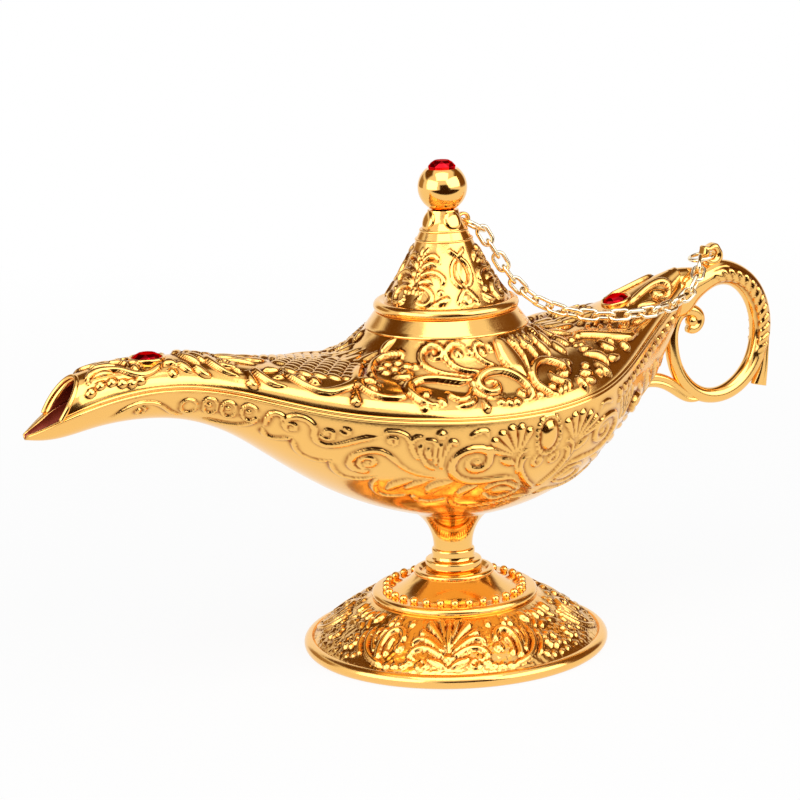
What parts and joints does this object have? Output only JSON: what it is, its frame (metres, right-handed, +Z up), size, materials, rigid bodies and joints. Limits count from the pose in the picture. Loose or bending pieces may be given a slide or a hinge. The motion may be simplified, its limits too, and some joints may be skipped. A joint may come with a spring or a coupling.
{
  "type": "genie oil lamp",
  "caption": "Ornamental gilt oil lamp with a long spout, looped tail handle, round pedestal foot and a chained lift-off lid set with red stones.",
  "frame": {"origin": "centre of the foot, on the table it stands on", "axes": "+Z up, +X from the bowl towards the handle, so the spout points to -X, +Y across the lamp"},
  "size_m": [0.2115, 0.0768, 0.1232],
  "materials": {
    "gilt_brass": "polished",
    "red_stone": "faceted, glossy",
    "chain_brass": "pale gilt, polished",
    "fixing_steel": "plain"
  },
  "bodies": {
    "lamp": {"lower_shell": "gilt_brass", "upper_shell": "gilt_brass", "spout_bezel": "gilt_brass", "spout_gem": "red_stone", "tail_bezel": "gilt_brass", "tail_gem": "red_stone", "base_foot": "gilt_brass", "base_washer": "fixing_steel", "base_screw": "fixing_steel", "stem_collar": "gilt_brass", "pedestal_stem": "gilt_brass", "handle": "gilt_brass", "handle_lug": "gilt_brass", "chain": "chain_brass"},
    "lid": {"lid_shell": "gilt_brass", "finial_ball": "gilt_brass", "finial_gem": "red_stone"},
    "lid_ring": {"lid_ring": "chain_brass"},
    "handle_ring": {"handle_ring": "chain_brass"}
  },
  "joints": [
    {"name": "lid_lift", "type": "slide", "parent": "lamp", "child": "lid", "axis": [0, 0, 1], "range_m": [0, 0.034], "deforming": ["chain"]},
    {"name": "lid_ring_swing", "type": "hinge", "parent": "lid", "child": "lid_ring", "pos_m": [0.0055, 0, 0.108], "axis": [0, 1, 0], "range_deg": [-25, 15]},
    {"name": "handle_ring_swing", "type": "hinge", "parent": "lamp", "child": "handle_ring", "pos_m": [0.0798, 0, 0.0909], "axis": [0, 1, 0], "range_deg": [-8, 40]}
  ]
}
